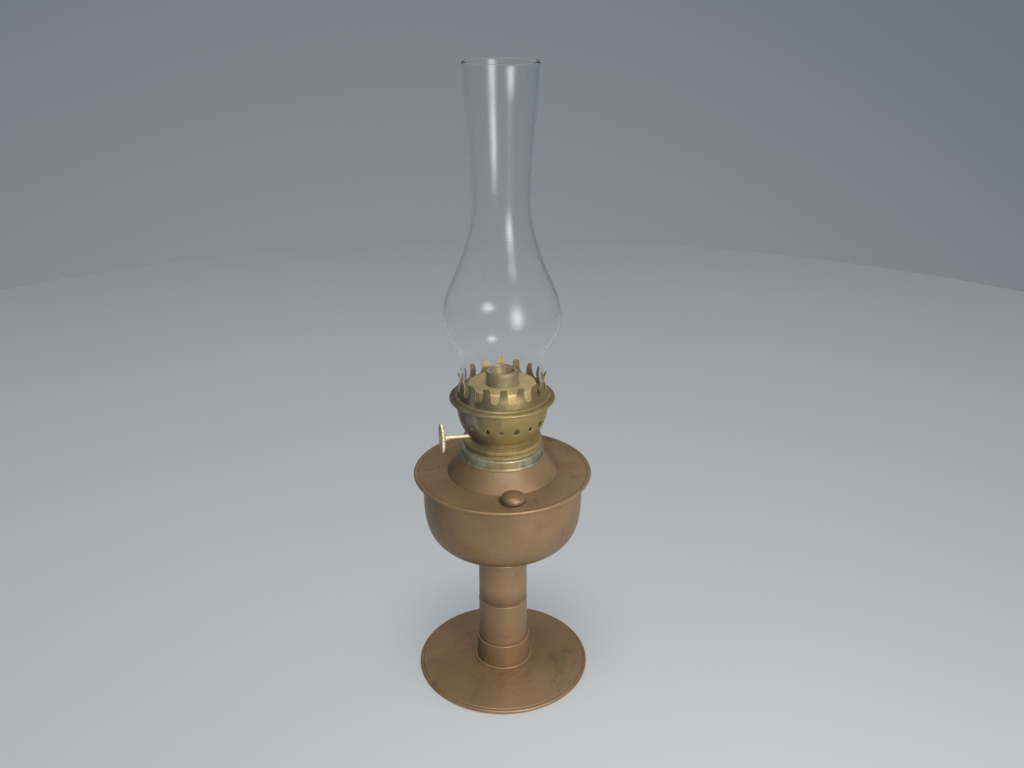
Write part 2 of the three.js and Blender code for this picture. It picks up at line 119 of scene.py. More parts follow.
CAMERA_PLACE = (0, -0.7370, 0.5842)
CAMERA_PITCH, CAMERA_YAW = 23.04, 0.616  # degrees below the horizon, degrees towards +X
FLOOR_RADIUS = 1.47

KEY_PLACE, KEY_TARGET = (0.31, -0.58, 0.46), (0, 0, 0.33)
KEY_WIDTH, KEY_HEIGHT, KEY_SOFT_SIZE = 0.36, 0.4, (0.34, 0.36)
# nested discs give the key light a bright middle and a soft edge: share of its size, watts, casts a shadow
KEY_DISCS = ((1, 1.2, True), (0.8, 1.8, False), (0.6, 1.8, False), (0.4, 1.5, False))
KEY_SOFT_POWER = 1.8  # of the one key lamp that lights the floor too
OVERHEAD_PLACE, OVERHEAD_SIZE = (0, -0.45, 2.4), (1.2, 1.2)
OVERHEADS = (("overhead", 12.5, True), ("overhead_soft", 14, False))  # watts, casts a shadow
BACK_FILL_PLACE, BACK_FILL_TARGET, BACK_FILL_SIZE = (0.5, 0.8, 0.5), (0, 0, 0.25), (0.6, 0.6)
BACK_FILL_POWER = 3

BACKDROP_LOW, BACKDROP_HIGH, BACKDROP_SIDE = rgb(134, 140, 145), rgb(108, 116, 124), rgb(80, 87, 94)
BACKDROP_RISE = (-0.24, 0.16)  # how high, of 1, its low colour ends and its high one begins
BACKDROP_SPREAD = (0.5, 0.95)  # how far aside, of 1, it starts to darken and is darkest
BACKDROP_MIDDLE, BACKDROP_SAG = -0.1, 0.7  # where it's lightest, and how fast that drops off to both sides


def make_camera():
    data = bpy.data.cameras.new("camera")
    data.lens = 35
    data.sensor_width = 36
    camera = bpy.data.objects.new("camera", data)
    camera.location = CAMERA_PLACE
    camera.rotation_euler = (math.radians(90 - CAMERA_PITCH), 0, math.radians(-CAMERA_YAW))
    scene.collection.objects.link(camera)
    scene.camera = camera


def area_light(name, place, target, size, power, shadow, spared=None):
    """An oval lamp; size is (width, height). It doesn't light what is in spared, a collection."""
    data = bpy.data.lights.new(name, "AREA")
    data.shape = "ELLIPSE"
    data.size, data.size_y = size
    data.energy = power
    data.use_shadow = shadow
    light = bpy.data.objects.new(name, data)
    light.location = place
    light.rotation_euler = (Vector(target) - Vector(place)).to_track_quat("-Z", "Y").to_euler()
    scene.collection.objects.link(light)
    if spared:
        light.light_linking.receiver_collection = spared
        # from behind, a lamp seen through the glass would be a white patch
        light.visible_transmission = False
    return light


def make_light(floor):
    spared = bpy.data.collections.new("unlit_by_key")
    spared.objects.link(floor)
    spared.collection_objects[0].light_linking.link_state = "EXCLUDE"
    for i, (share, power, shadow) in enumerate(KEY_DISCS):
        size = (KEY_WIDTH * share, KEY_HEIGHT * share)
        area_light(f"key_{i}", KEY_PLACE, KEY_TARGET, size, power, shadow, spared)
    area_light("key_soft", KEY_PLACE, KEY_TARGET, KEY_SOFT_SIZE, KEY_SOFT_POWER, False)
    for name, power, shadow in OVERHEADS:
        area_light(name, OVERHEAD_PLACE, (0, 0, 0), OVERHEAD_SIZE, power, shadow)
    back_fill = area_light("back_fill", BACK_FILL_PLACE, BACK_FILL_TARGET, BACK_FILL_SIZE, BACK_FILL_POWER,
                           True, spared)
    back_fill.visible_glossy = False  # it would draw white lines down the edges of the glass


def make_backdrop():
    """A plain grey world, lightest low down and a little left of the middle, darker high up and far aside."""
    world = bpy.data.worlds.new("studio")
    world.use_nodes = True
    n = Nodes(world.node_tree)
    x, _, z = n.parts(n.node("ShaderNodeTexCoord").outputs["Generated"])
    aside = n.maths("ADD", x, -BACKDROP_MIDDLE)
    level = n.maths("ADD", z, n.maths("MULTIPLY", n.maths("MULTIPLY", aside, aside), BACKDROP_SAG))
    upright = n.mix(n.band(level, *BACKDROP_RISE, "LINEAR"), BACKDROP_LOW, BACKDROP_HIGH)
    sides = n.band(n.maths("ABSOLUTE", x), *BACKDROP_SPREAD)
    n.link(n.mix(sides, upright, BACKDROP_SIDE), n.tree.nodes["Background"].inputs["Color"])
    scene.world = world


def make_floor(material):
    mesh = bpy.data.meshes.new("floor")
    body = bmesh.new()
    bmesh.ops.create_circle(body, cap_ends=True, segments=256, radius=FLOOR_RADIUS)
    body.to_mesh(mesh)
    body.free()
    mesh.materials.append(material)
    floor = bpy.data.objects.new("floor", mesh)
    scene.collection.objects.link(floor)
    return floor


# -------------------------------- materials

class Finish(Nodes):
    """A material with one Principled shader, and the nodes that the finishes share."""

    def __init__(self, name, **sockets):
        self.material = bpy.data.materials.new(name)
        self.material.use_nodes = True
        super().__init__(self.material.node_tree)
        self.tree.nodes.clear()
        self.output = self.node("ShaderNodeOutputMaterial")
        self.shader = self.node("ShaderNodeBsdfPrincipled")
        for socket, value in sockets.items():
            self.shader.inputs[socket.replace("_", " ")].default_value = value
        self.link(self.shader.outputs[0], self.output.inputs["Surface"])
        self.place = self.node("ShaderNodeTexCoord").outputs["Object"]

    def drive(self, socket, value):
        self.feed(self.shader.inputs[socket], value)

    def noise(self, scale, detail=3, roughness=0.5, distortion=0, place=None):
        sockets = {"Scale": scale, "Detail": detail, "Roughness": roughness, "Distortion": distortion,
                   "Vector": place or self.place}
        return self.node("ShaderNodeTexNoise", sockets).outputs["Fac"]

    def marked(self, name):
        """How sharply each vertex stands out, "edge", or lies in a corner, "cavity", 0 to 1, as stored on the
        mesh.
        """
        return self.node("ShaderNodeAttribute", attribute_name=name).outputs["Fac"]

    def stretched(self, x, y, z):
        return self.node("ShaderNodeMapping", {"Scale": (x, y, z), "Vector": self.place}).outputs["Vector"]

    def round_the_axis(self):
        """Coordinates that change only with radius and height, for marks left by the lathe."""
        x, y, z = self.parts(self.place)
        squares = [self.maths("MULTIPLY", side, side) for side in (x, y)]
        radius = self.maths("SQRT", self.maths("ADD", *squares))
        return self.node("ShaderNodeCombineXYZ", {0: radius, 2: z}).outputs[0]

    def bump(self, height, distance, strength=1.0, under=None):
        made = self.node("ShaderNodeBump", {"Strength": strength, "Distance": distance, "Height": height})
        if under is not None:
            self.link(under, made.inputs["Normal"])
        self.link(made.outputs[0], self.shader.inputs["Normal"])
        return made.outputs[0]


# in metres, as every place and height in a material
PAINTED_HIGHLIGHT_FROM, PAINTED_HIGHLIGHT_TO = (0.074, 0.086), (0.117, 0.12)  # heights of the stem between which a paler band is painted on as a highlight
CAP_SHADOW_EDGE = (0.0098, 0.0118)  # how far from its middle the painted shadow by the filler cap ends
CAP_SHADOW_ASIDE = (-0.001, 0.0012)  # that middle, from the cap's
SOOT_RISE, SOOT_RAGGED = (0.0085, 0.0125), 0.014  # where soot starts and is full, and how uneven its edge is


def bronze():
    """Brown-patinated bronze: soft blotches, reddish and olive casts, smudges, faint specks, and edges
    lighter as rubbed wear and painted highlight. Corners are darker as painted shade, the upper stem has a
    paler band as a painted highlight, and a painted shadow lies on the deck behind the filler cap."""
    f = Finish("bronze", Metallic=0.55)
    broad = f.noise(13, 4, 0.55, 0.5)
    tone = f.mix(f.band(broad, 0.36, 0.66), rgb(121, 98, 70), rgb(139, 114, 83))
    height = f.parts(f.place)[2]
    # painted highlight: the upper stem is painted paler, as if more lit
    below = f.maths("SUBTRACT", 1, f.band(height, *PAINTED_HIGHLIGHT_TO))
    painted_highlight = f.maths("MULTIPLY", f.band(height, *PAINTED_HIGHLIGHT_FROM), below)
    tone = f.tint(tone, painted_highlight, 0.55, rgb(170, 140, 104))
    red = f.band(f.noise(21, 4, 0.6, 0.7, f.stretched(1, 1, 0.7)), 0.54, 0.7)
    tone = f.tint(tone, red, 0.5, rgb(126, 90, 66))
    olive = f.band(f.noise(30, 3, 0.6, 0.4, f.stretched(1, 0.8, 1)), 0.56, 0.7)
    tone = f.tint(tone, olive, 0.4, rgb(106, 94, 62))
    fine = f.noise(210, 4, 0.7)
    tone = f.tint(tone, f.band(fine, 0.5, 0.75), 0.16, rgb(96, 76, 56))
    smudge = f.band(f.noise(34, 4, 0.65, 1.2), 0.57, 0.72)
    tone = f.tint(tone, smudge, 0.6, rgb(80, 64, 50))
    # painted shadow: a dark ring on the deck round the filler cap, set off towards the back left
    low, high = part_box("filler_cap")
    x, y = ((low[i] + high[i]) / 2 + CAP_SHADOW_ASIDE[i] for i in (0, 1))
    around = f.node("ShaderNodeVectorMath", {0: f.place, 1: (x, y, low.z)}, operation="DISTANCE")
    dirt_and_painted_shadow = f.maths("SUBTRACT", 1, f.band(around.outputs["Value"], *CAP_SHADOW_EDGE))
    under_cap = f.maths("LESS_THAN", height, low.z - 0.05 * MM)
    dirt_and_painted_shadow = f.maths("MULTIPLY", dirt_and_painted_shadow, under_cap)
    tone = f.tint(tone, dirt_and_painted_shadow, 0.85, rgb(46, 35, 26))
    specks = f.band(f.noise(430, 2, 0.5), 0.7, 0.75)
    tone = f.tint(tone, specks, 0.3, rgb(70, 54, 40))
    # painted shade: darker in corners and creases
    tone = f.tint(tone, f.marked("cavity"), 0.3, rgb(62, 48, 34))
    # edges lighter, patchily: rubbed wear and painted highlight
    rub_and_painted_highlight = f.range(f.noise(120, 3), 0.1, 0.4)
    f.drive("Base Color", f.tint(tone, f.marked("edge"), rub_and_painted_highlight, rgb(186, 154, 118)))
    f.drive("Roughness", f.range(f.noise(75, 4, 0.6), 0.36, 0.48))
    spun = f.bump(f.noise(1500, 2, 0.5, 0, f.round_the_axis()), 0.000012)
    f.bump(f.noise(55, 3, 0.55), 0.0003, 0.15, spun)
    return f.material


def aged_brass(name, dark, light, grey, sooty=None):
    """Aged brass, mottled from dark to light, with edges lighter as rubbed wear and painted highlight and
    corners darker as painted shade. Scuffed tarnish covers it, as far as grey says, on the side that faces
    -X, which is painted shade as well as tarnish; soot darkens it a little above sooty, a height in metres."""
    f = Finish(name, Metallic=0.6)
    tone = f.mix(f.band(f.noise(34, 4, 0.6, 0.4), 0.36, 0.66), dark, light)
    brown = f.band(f.noise(85, 4, 0.65, 0.3, f.stretched(1, 1, 0.5)), 0.54, 0.74)
    tone = f.tint(tone, brown, 0.4, rgb(112, 84, 52))
    # partly painted shade: tarnish heavier on the -X side, away from the key light
    side = f.maths("MULTIPLY", f.parts(f.place)[0], -11)
    tarnish_and_shade_patch = f.band(f.maths("ADD", f.noise(26, 4, 0.6, 0.6), side), 0.5, 0.8)
    scuff = f.band(f.noise(70, 3, 0.6, 0.5, f.stretched(1, 1, 0.3)), 0.5, 0.66)
    tarnish = f.mix(scuff, rgb(82, 76, 66), rgb(136, 132, 118))
    tone = f.tint(tone, tarnish_and_shade_patch, grey, tarnish)
    dirt_and_painted_shadow = f.band(f.noise(240, 3, 0.6), 0.6, 0.74)
    tone = f.tint(tone, dirt_and_painted_shadow, 0.25, rgb(80, 68, 44))
    # painted shade: darker in corners and creases
    tone = f.tint(tone, f.marked("cavity"), 0.55, rgb(70, 58, 36))
    if sooty:
        ragged = f.maths("MULTIPLY", f.noise(150, 3, 0.6), SOOT_RAGGED)
        burnt = f.band(f.maths("ADD", f.parts(f.place)[2], ragged), *(sooty + rise for rise in SOOT_RISE))
        tone = f.tint(tone, burnt, 0.7, rgb(58, 48, 36))
    # edges lighter, patchily: rubbed wear and painted highlight
    rub_and_painted_highlight = f.range(f.noise(160, 3), 0.1, 0.4)
    f.drive("Base Color", f.tint(tone, f.marked("edge"), rub_and_painted_highlight, rgb(186, 166, 116)))
    f.drive("Roughness", f.range(f.noise(110, 4, 0.6), 0.32, 0.48))
    spun = f.bump(f.noise(1900, 2, 0.5, 0, f.round_the_axis()), 0.00001)
    f.bump(f.noise(90, 3, 0.5), 0.0003, 0.2, spun)
    return f.material


def patina_brass():
    """Brass gone grey-green, streaked up and down with silvery wear, and golden in its middle, by x, as a
    painted highlight.
    """
    f = Finish("patina_brass", Metallic=0.55)
    streaks = f.noise(130, 4, 0.6, 0.2, f.stretched(1, 1, 0.25))
    tone = f.mix(f.band(streaks, 0.36, 0.62), rgb(100, 98, 82), rgb(142, 138, 116))
    # painted highlight: golden near x = 0, where the key light shows on the front
    painted_highlight_front = f.maths("MULTIPLY", f.maths("ABSOLUTE", f.parts(f.place)[0]), -14)
    gold_painted_highlight = f.band(f.maths("ADD", f.noise(38, 3, 0.5, 0.4), painted_highlight_front), 0.2, 0.45)
    tone = f.tint(tone, gold_painted_highlight, 0.8, rgb(134, 116, 72))
    silver = f.band(f.noise(330, 3, 0.6, 0, f.stretched(1, 1, 0.3)), 0.58, 0.74)
    tone = f.tint(tone, silver, 0.4, rgb(176, 172, 156))
    # painted shade: darker in corners and creases
    tone = f.tint(tone, f.marked("cavity"), 0.6, rgb(54, 54, 42))
    # edges lighter, patchily: rubbed wear and painted highlight
    rub_and_painted_highlight = f.range(f.noise(200, 3), 0.05, 0.3)
    f.drive("Base Color", f.tint(tone, f.marked("edge"), rub_and_painted_highlight, rgb(184, 180, 150)))
    f.drive("Roughness", f.range(streaks, 0.32, 0.52))
    f.bump(f.noise(300, 3, 0.6), 0.0001, 0.35)
    return f.material


def pale_brass():
    """Light, even brass with small brown spots."""
    f = Finish("pale_brass", Metallic=0.5)
    tone = f.mix(f.band(f.noise(140, 4, 0.6), 0.4, 0.66), rgb(176, 166, 130), rgb(200, 190, 154))
    spots = f.band(f.noise(420, 3, 0.5), 0.6, 0.74)
    tone = f.tint(tone, spots, 0.35, rgb(142, 126, 90))
    # painted shade: darker in corners and creases
    tone = f.tint(tone, f.marked("cavity"), 0.6, rgb(110, 98, 68))
    # edges lighter: rubbed wear and painted highlight
    f.drive("Base Color", f.tint(tone, f.marked("edge"), 0.45, rgb(220, 210, 180)))
    f.drive("Roughness", f.range(f.noise(200, 3), 0.34, 0.5))
    f.bump(f.noise(500, 3, 0.6), 0.00005, 0.5)
    return f.material


def chimney_glass():
    """Thin clear glass with a soft gloss, faintly uneven in tint; it lets the lamps' light through."""
    f = Finish("chimney_glass", Roughness=0.01, IOR=1.15, Transmission_Weight=1, Specular_IOR_Level=0.2,
               Coat_Weight=0.15, Coat_Roughness=0.19, Coat_IOR=1.4)
    f.drive("Base Color", f.mix(f.noise(12, 2), (0.97, 0.985, 0.985, 1), (0.99, 0.995, 0.995, 1)))
    shadow_ray = f.node("ShaderNodeLightPath").outputs["Is Shadow Ray"]
    clear = f.node("ShaderNodeBsdfTransparent").outputs[0]
    choice = f.node("ShaderNodeMixShader", {0: shadow_ray, 1: f.shader.outputs[0], 2: clear})
    f.link(choice.outputs[0], f.output.inputs["Surface"])
    return f.material


def wick_cotton(char_from, char_to):
    """Woven cotton, scorched towards the top; char_from and char_to are heights in metres."""
    f = Finish("wick_cotton", Roughness=0.95, Sheen_Weight=0.3)
    weft = f.node("ShaderNodeTexWave", {"Scale": 190, "Distortion": 1.2, "Vector": f.place},
                  bands_direction="Z")
    fibre = f.noise(900, 3, 0.7, 0, f.stretched(1, 1, 0.4))
    tone = f.mix(weft.outputs["Fac"], rgb(176, 162, 132), rgb(222, 212, 186))
    tone = f.mix(f.band(fibre, 0.45, 0.75), tone, rgb(150, 134, 104))
    edge = f.maths("ADD", f.parts(f.place)[2], f.maths("MULTIPLY", f.noise(300, 2), 0.0025))
    f.drive("Base Color", f.mix(f.band(edge, char_from, char_to), tone, rgb(74, 60, 44)))
    f.bump(f.maths("ADD", weft.outputs["Fac"], fibre), 0.00015, 0.8)
    return f.material


def felt():
    f = Finish("felt", Roughness=1, Sheen_Weight=0.4)
    fibre = f.noise(1400, 4, 0.75)
    tone = f.mix(f.band(fibre, 0.35, 0.7), rgb(38, 48, 36), rgb(74, 88, 68))
    f.drive("Base Color", f.mix(f.band(f.noise(60, 3), 0.5, 0.7), tone, rgb(50, 56, 44)))
    f.bump(fibre, 0.0003, 0.8)
    return f.material


def cork():
    f = Finish("cork", Roughness=0.85)
    grains = f.node("ShaderNodeTexVoronoi", {"Scale": 1100, "Vector": f.place})
    tone = f.mix(grains.outputs["Distance"], rgb(112, 104, 80), rgb(80, 74, 56))
    f.drive("Base Color", f.mix(f.band(f.noise(150, 3), 0.45, 0.7), tone, rgb(96, 86, 60)))
    f.bump(grains.outputs["Distance"], 0.0001, 0.7)
    return f.material


def iron():
    f = Finish("iron", Roughness=0.75, Metallic=0.6)
    grain = f.noise(500, 4, 0.7)
    tone = f.mix(f.band(grain, 0.4, 0.7), rgb(62, 60, 58), rgb(92, 88, 84))
    f.drive("Base Color", f.mix(f.band(f.noise(70, 4, 0.6), 0.55, 0.7), tone, rgb(112, 78, 56)))
    f.bump(grain, 0.0002, 0.8)
    return f.material


def steel():
    f = Finish("steel", Metallic=0.95)
    lines = f.noise(900, 3, 0.6, 0, f.stretched(1, 1, 0.08))
    f.drive("Base Color", f.mix(lines, rgb(120, 124, 128), rgb(172, 174, 176)))
    f.drive("Roughness", f.range(lines, 0.28, 0.45))
    f.bump(lines, 0.00002, 0.5)
    return f.material


def floor_paint():
    f = Finish("floor_paint", Roughness=0.7)
    f.drive("Base Color", f.mix(f.noise(3, 3), rgb(220, 220, 220), rgb(226, 226, 226)))
    return f.material


# -------------------------------- outlines

def arc(centre, radius, start, end, steps=10):
    """Points of an arc round a centre; angles in degrees, 0 outwards and 90 up."""
    turns = np.radians(np.linspace(start, end, steps + 1))
    return [(centre[0] + radius * math.cos(a), centre[1] + radius * math.sin(a)) for a in turns]


def rounded(corners, steps=5):
    """A closed outline in which each corner (radius, height, fillet) is rounded to its fillet."""
    outline = []
    for i, corner in enumerate(corners):
        point = Vector(corner[:2])
        before = Vector(corners[i - 1][:2]) - point
        after = Vector(corners[(i + 1) % len(corners)][:2]) - point
        fillet = corner[2] if len(corner) > 2 else 0
        if fillet == 0:
            outline.append(tuple(point))
            continue
        half = before.angle(after) / 2
        reach = min(fillet / math.tan(half), before.length * 0.48, after.length * 0.48)
        radius = reach * math.tan(half)
        bisector = (before.normalized() + after.normalized()).normalized()
        centre = point + bisector * (radius / math.sin(half))
        start = point + before.normalized() * reach - centre
        end = point + after.normalized() * reach - centre
        swing = start.angle(end)
        for k in range(steps + 1):
            share = k / steps
            spoke = (start * math.sin((1 - share) * swing) + end * math.sin(share * swing)) / math.sin(swing)
            outline.append(tuple(centre + spoke))
    return outline


def through(points, steps=6):
    """A smooth open curve through the points (centripetal Catmull-Rom)."""
    known = [np.array(p, float) for p in points]
    known = [2 * known[0] - known[1], *known, 2 * known[-1] - known[-2]]
    curve = []
    for a, b, c, d in zip(known, known[1:], known[2:], known[3:]):
        knots = np.cumsum([0] + [np.linalg.norm(q - p) ** 0.5 for p, q in ((a, b), (b, c), (c, d))])
        for t in np.linspace(knots[1], knots[2], steps, endpoint=False):
            blend = lambda p, q, i, j: (p * (knots[j] - t) + q * (t - knots[i])) / (knots[j] - knots[i])
            ab, bc, cd = blend(a, b, 0, 1), blend(b, c, 1, 2), blend(c, d, 2, 3)
            curve.append(tuple(blend(blend(ab, bc, 0, 2), blend(bc, cd, 1, 3), 1, 2)))
    return curve + [tuple(points[-1])]


def offset(curve, distance):
    """A curve moved sideways; a positive distance moves one that runs upwards towards the axis."""
    points = np.array(curve, float)
    along = np.gradient(points, axis=0)
    along /= np.linalg.norm(along, axis=1)[:, None]
    return [tuple(p) for p in points + distance * np.column_stack((-along[:, 1], along[:, 0]))]


def reach(node):
    """(radius, bottom, top) in millimetres of a CAD node that stands on the lamp's axis."""
    low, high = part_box(node)
    return high.x / MM, low.z / MM, high.z / MM


# -------------------------------- meshes

WELD, SLIVER = 2e-6, 1e-7  # metres: nearer vertices are one, shorter edges go
ON_AXIS = 1e-6  # millimetres: a point of an outline nearer to the axis lies on it
BEVEL_ANGLE, SHARP_ANGLE = 50, 42  # degrees: sharper edges are bevelled, and shaded as edges
BEND_GAIN, BEND_START = 0.8, 0.12  # mark for each 1/mm of bend, and the mark that is too little to show


def mark_edges_and_corners(mesh):
    """Stores how sharply each vertex stands out ("edge") or lies in a corner ("cavity"), 0 to 1. The finishes
    lighten edges as rubbed wear and painted highlight, and darken corners as painted shade.
    """
    count = len(mesh.vertices)
    place = np.empty(count * 3)
    mesh.vertices.foreach_get("co", place)
    place = place.reshape(-1, 3)
    normal = np.empty(count * 3)
    mesh.vertices.foreach_get("normal", normal)
    normal = normal.reshape(-1, 3)
    ends = np.empty(len(mesh.edges) * 2, int)
    mesh.edges.foreach_get("vertices", ends)
    ends = ends.reshape(-1, 2)
    step = place[ends[:, 1]] - place[ends[:, 0]]
    squared = np.maximum((step ** 2).sum(1), SLIVER ** 2)
    bend = np.zeros((2, count))
    for near, sign in ((0, -1), (1, 1)):
        lean = sign * (normal[ends[:, near]] * step).sum(1) * 2 / squared * MM
        np.maximum.at(bend[0], ends[:, near], lean)
        np.maximum.at(bend[1], ends[:, near], -lean)
    for name, amount in zip(("edge", "cavity"), bend):
        made = mesh.attributes.new(name, "FLOAT", "POINT")
        made.data.foreach_set("value", np.clip(amount * BEND_GAIN - BEND_START, 0, 1))


def finished(name, vertices, faces, material, wall=0, bevel=0):
    """An object of a mesh in metres: welded, facing outwards, with a wall inwards, bevelled and smooth."""
    mesh = bpy.data.meshes.new(name)
    mesh.from_pydata(vertices, [], faces)
    body = bmesh.new()
    body.from_mesh(mesh)
    bmesh.ops.remove_doubles(body, verts=body.verts, dist=WELD)
    bmesh.ops.dissolve_degenerate(body, edges=body.edges, dist=SLIVER)
    bmesh.ops.recalc_face_normals(body, faces=body.faces)
    if wall and sum(f.normal.xy.dot(f.calc_center_median().xy) for f in body.faces) < 0:
        bmesh.ops.reverse_faces(body, faces=body.faces)
    body.to_mesh(mesh)
    body.free()
    piece = bpy.data.objects.new(name, mesh)
    scene.collection.objects.link(piece)
    if wall:
        thick = piece.modifiers.new("wall", "SOLIDIFY")
        thick.thickness = wall
        thick.offset = -1
        thick.use_even_offset = True
    if bevel:
        rounding = piece.modifiers.new("bevel", "BEVEL")
        rounding.width = bevel
        rounding.segments = 2
        rounding.limit_method = "ANGLE"
        rounding.angle_limit = math.radians(BEVEL_ANGLE)
    if wall or bevel:
        settle(piece)
    smooth(piece.data)
    piece.data.materials.append(material)
    return piece


def settle(piece):
    """Applies a piece's modifiers to its mesh."""
    bpy.context.view_layer.update()
    whole = piece.evaluated_get(bpy.context.evaluated_depsgraph_get())
    mesh = bpy.data.meshes.new_from_object(whole)
    piece.modifiers.clear()
    piece.data = mesh


def smooth(mesh):
    """Shades a mesh smooth between its sharp edges, and marks its edges (wear and painted highlight) and
    corners (painted shade).
    """
    mesh.shade_smooth()
    mesh.set_sharp_from_angle(angle=math.radians(SHARP_ANGLE))
    mark_edges_and_corners(mesh)


def attach(piece, body, node):
    """Rides a piece on its body in place of its CAD node."""
    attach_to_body(piece, body)
    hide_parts(node)
    return piece


def turned_mesh(outline, sides, ripple=None, place=Matrix.Identity(4)):
    """Vertices and faces of a closed outline turned about +Z and then moved to place.
    ripple(angles, radius, height) moves the points outwards."""
    angles = np.linspace(0, 2 * math.pi, sides, endpoint=False)
    vertices, rings = [], []
    for radius, height in outline:
        if radius < ON_AXIS:
            rings.append([len(vertices)] * sides)
            vertices.append(place @ Vector((0, 0, height * MM)))
            continue
        spokes = radius + (ripple(angles, radius, height) if ripple else 0 * angles)
        rings.append(range(len(vertices), len(vertices) + sides))
        vertices += [place @ Vector((r * math.cos(a) * MM, r * math.sin(a) * MM, height * MM))
                     for a, r in zip(angles, spokes)]
    faces = []
    for low, high in zip(rings, [*rings[1:], rings[0]]):
        for j in range(sides):
            k = (j + 1) % sides
            corners = list(dict.fromkeys((low[j], low[k], high[k], high[j])))
            if len(corners) > 2:
                faces.append(corners)
    return vertices, faces


def turned(node, outline, material, body="stand", sides=FINE, ripple=None, place=Matrix.Identity(4)):
    """The turned piece that stands for a CAD node."""
    vertices, faces = turned_mesh(outline, sides, ripple, place)
    return attach(finished(node + "_finished", vertices, faces, material), body, node)


def without(piece, cutter_mesh):
    """Cuts a closed mesh, given as vertices and faces, out of a piece."""
    cutter = finished("cutter", *cutter_mesh, piece.data.materials[0])
    difference = piece.modifiers.new("cut", "BOOLEAN")
    difference.operation = "DIFFERENCE"
    difference.solver = "EXACT"
    difference.object = cutter
    settle(piece)
    bpy.data.objects.remove(cutter)
    for name in ("edge", "cavity"):
        piece.data.attributes.remove(piece.data.attributes[name])
    smooth(piece.data)


# -------------------------------- foot and stem

def make_foot(metal):
    radius, bottom, top = reach("foot_plate")
    rim, rim_top = 1.45, 3.2
    middle = (radius - rim, rim_top - rim)
    plate = rounded([(3.6, top - 1.2), (3.6, top), (27, top, 8), (71.2, 3.55, 0.8), (72.1, 3.12, 0.4),
                     (72.9, rim_top)])[:-1]
    plate += arc(middle, rim, 90, -90, 20)
    plate += [(72, bottom), (71.8, 1.6), (70.6, 2.7), (27, top - 1.2)]
    turned("foot_plate", plate, metal)

    radius, bottom, top = reach("foot_bead_ring")
    turned("foot_bead_ring", rounded([(23.5, bottom), (radius, bottom, 0.3), (radius, top, 0.8),
                                      (23.5, top, 0.4)]), metal)


def make_stem(metal):
    radius, bottom, top = reach("stem_foot_collar")
    turned("stem_foot_collar", rounded([(21.5, bottom), (radius, bottom, 0.4), (radius, top, 0.9),
                                        (21.5, top, 0.3)]), metal)
    radius, bottom, joint = reach("stem_lower_sleeve")
    turned("stem_lower_sleeve", rounded([(19.7, bottom), (radius, bottom), (radius, joint, 2),
                                         (19.7, joint, 0.3)]), metal)
    _, bottom, top = reach("stem_upper_tube")
    radius, waist, line = 20.85, 20.1, 110
    turned("stem_upper_tube", rounded([
        (18, bottom), (19.3, bottom, 0.3), (19.3, joint + 0.3), (waist, joint + 0.3, 0.2),
        (waist, joint + 1.4, 1), (radius, joint + 4.6, 3), (radius, line - 0.8, 0.3),
        (radius + 0.35, line, 0.3), (radius, line + 0.8, 0.3), (radius, top), (18, top),
    ]), metal)


def make_tie(materials):
    """The weight, felt and fixings inside the foot and stem."""
    radius, bottom, top = reach("foot_weight")
    turned("foot_weight", rounded([(14, bottom, 0.4), (radius, bottom, 0.3), (radius, 2.6, 0.3),
                                   (27, top, 3), (14, top, 0.4)]), materials["iron"])
    radius, bottom, top = reach("base_felt")
    turned("base_felt", rounded([(0, bottom), (radius, bottom, 0.25), (radius, top, 0.3), (0, top)]),
           materials["felt"])
    radius, bottom, top = reach("tie_rod")
    turned("tie_rod", rounded([(0, bottom), (radius, bottom, 0.4), (radius, top, 0.4), (0, top)]),
           materials["steel"], sides=SMALL)
    radius, bottom, top = reach("tie_washer")
    turned("tie_washer", rounded([(3.4, bottom), (radius, bottom, 0.2), (radius, top, 0.2), (3.4, top)]),
           materials["steel"], sides=SMALL)
    radius, bottom, top = reach("font_socket")
    turned("font_socket", rounded([(3.3, bottom, 0.3), (9, bottom, 0.8), (9, 113, 1), (radius, 116, 0.6),
                                   (radius, top, 0.4), (0, top), (0, top - 3.9), (3.3, top - 3.9)]),
           materials["bronze"], sides=SMALL)


# -------------------------------- font

# the bowl's side is part of a superellipse, with its power BOWL_ROUNDNESS, down to BOWL_SWEEP degrees
BOWL_RADIUS, BOWL_SHOULDER, BOWL_DEPTH, BOWL_ROUNDNESS, BOWL_SWEEP = 66.3, 183.7, 58.8, 4.05, 58
SHEET = 1.2  # the font's sheet metal


def bowl_wall():
    """The bowl's outer side from its lip to the middle of its floor."""
    radius, bottom, top = reach("font_bowl")
    wall = through([(radius, top), (67.3, 188.4), (66.55, 186), (BOWL_RADIUS, BOWL_SHOULDER)], 5)[:-1]
    for angle in np.radians(np.linspace(0, BOWL_SWEEP, 40)):
        across = math.cos(angle) ** (2 / BOWL_ROUNDNESS)
        down = math.sin(angle) ** (2 / BOWL_ROUNDNESS)
        wall.append((BOWL_RADIUS * across, BOWL_SHOULDER - BOWL_DEPTH * down))
    return wall + through([wall.pop(), (36, 122.9), (21, bottom), (0, bottom)], 8)


